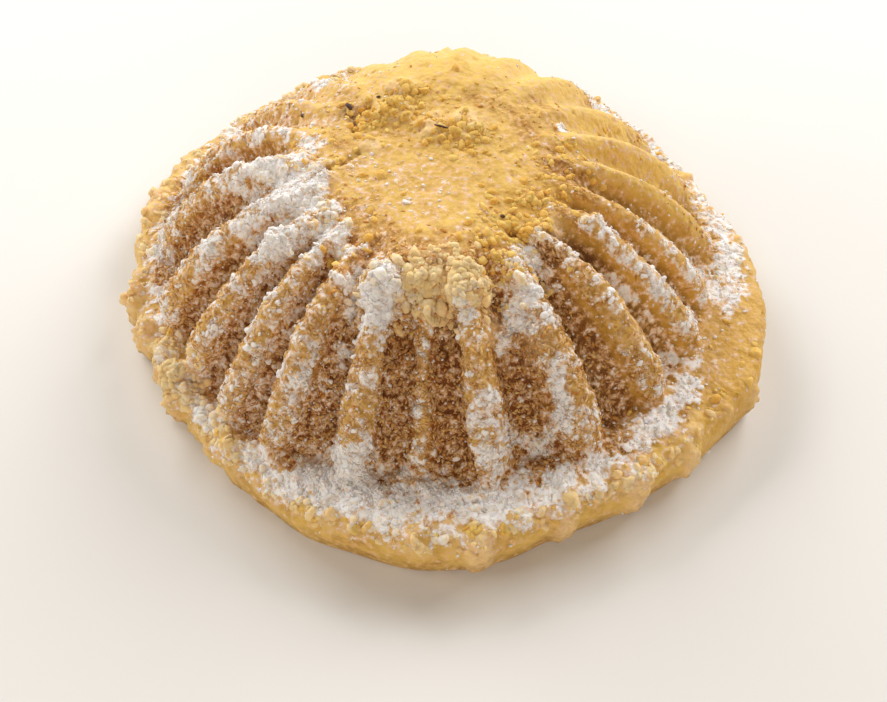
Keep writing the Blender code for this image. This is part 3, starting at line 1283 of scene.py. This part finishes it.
def add_gold_crumbs(skin):
    strewn_here = skin.field(CRUMB_PLACES) * smooth_step(skin.up, *CRUMB_UP)
    density = skin.free * (STRAY_CRUMBS + strewn_here)
    material = crumb_material("gold_crumb", CRUMB_GOLD, CRUMB_DEEP)
    strewn_on(skin, "gold_crumbs", unit_nugget(2), density, GOLD_CRUMBS, material)


def add_pale_crumbs(skin):
    density = skin.field(PALE_CRUMB_PLACES) * smooth_step(skin.up, *CRUMB_UP)
    material = crumb_material("pale_crumb", PALE_CRUMB, PALE_DOUGH)
    strewn_on(skin, "pale_crumbs", unit_nugget(2), density, PALE_CRUMBS, material)


def add_specks(skin):
    """Scraps of the date filling, and a thin scrap of stalk, caught in the crown."""
    spots = []
    sizes = []
    for azimuth, distance, length, thickness in SPECKS:
        sideways = angle_away(skin.azimuths, azimuth) * math.radians(distance)
        away = np.hypot(sideways, skin.distances - distance)
        spots.append(np.argmin(away + FAR_OFF * (skin.up < 0)))
        sizes.append((length * MM, thickness * MM, thickness * MM))
    places = skin.points[spots], skin.normals[spots], np.zeros(len(spots))
    material = speck_material()
    strewn("date_specks", unit_nugget(3), places, np.array(sizes), SPECK_STANCE, material)


# ---------- stage


def aim(thing, place, target, roll=0.0):
    """Puts a camera or a light in its place, facing the target."""
    thing.location = place
    turn = (target - place).to_track_quat("-Z", "Y")
    thing.rotation_mode = "QUATERNION"
    thing.rotation_quaternion = turn @ Quaternion((0, 0, 1), roll)


def add_camera():
    width = HIGH.x - LOW.x
    target = Vector((CAMERA_TARGET[0] * width, CAMERA_TARGET[1] * width, LOW.z))
    back = Vector((0, -math.cos(CAMERA_ELEVATION), math.sin(CAMERA_ELEVATION)))
    data = bpy.data.cameras.new("camera")
    data.sensor_width = CAMERA_SENSOR
    data.lens = CAMERA_LENS
    data.clip_start = CAMERA_NEAR
    camera = bpy.data.objects.new("camera", data)
    bpy.context.scene.collection.objects.link(camera)
    aim(camera, target + back * CAMERA_DISTANCE * width, target, CAMERA_ROLL)
    bpy.context.scene.camera = camera


def add_light(name, azimuth, elevation, distance, width, height, power, colour):
    data = bpy.data.lights.new(name, "AREA")
    data.shape = "RECTANGLE"
    data.size = width
    data.size_y = height
    data.energy = power
    data.color = colour
    light = bpy.data.objects.new(name, data)
    bpy.context.scene.collection.objects.link(light)
    turn = math.radians(azimuth)
    flat = distance * math.cos(math.radians(elevation))
    rise = distance * math.sin(math.radians(elevation))
    aim(light, Vector((flat * math.cos(turn), flat * math.sin(turn), rise)), Vector((0, 0, 0)))


def add_floor():
    signs = ((-1, -1), (1, -1), (1, 1), (-1, 1))
    corners = [(FLOOR_HALF * x, FLOOR_HALF * y, LOW.z) for x, y in signs]
    mesh = bpy.data.meshes.new("floor")
    mesh.from_pydata(corners, [], [(0, 1, 2, 3)])
    mesh.materials.append(floor_material())
    floor = bpy.data.objects.new("floor", mesh)
    bpy.context.scene.collection.objects.link(floor)


def add_stage():
    add_floor()
    add_camera()
    for settings in LIGHTS:
        add_light(*settings)
    world = bpy.data.worlds.new("studio")
    world.use_nodes = True
    background = world.node_tree.nodes["Background"]
    background.inputs["Color"].default_value = WORLD_COLOUR
    background.inputs["Strength"].default_value = WORLD_STRENGTH
    bpy.context.scene.world = world
    bpy.context.scene.view_settings.view_transform = "Standard"


def main():
    skin = shape_skin()
    add_skin(skin)
    add_semolina(skin)
    add_sugar_grains(skin)
    add_sugar_clumps(skin)
    add_gold_crumbs(skin)
    add_pale_crumbs(skin)
    add_specks(skin)
    add_stage()


main()
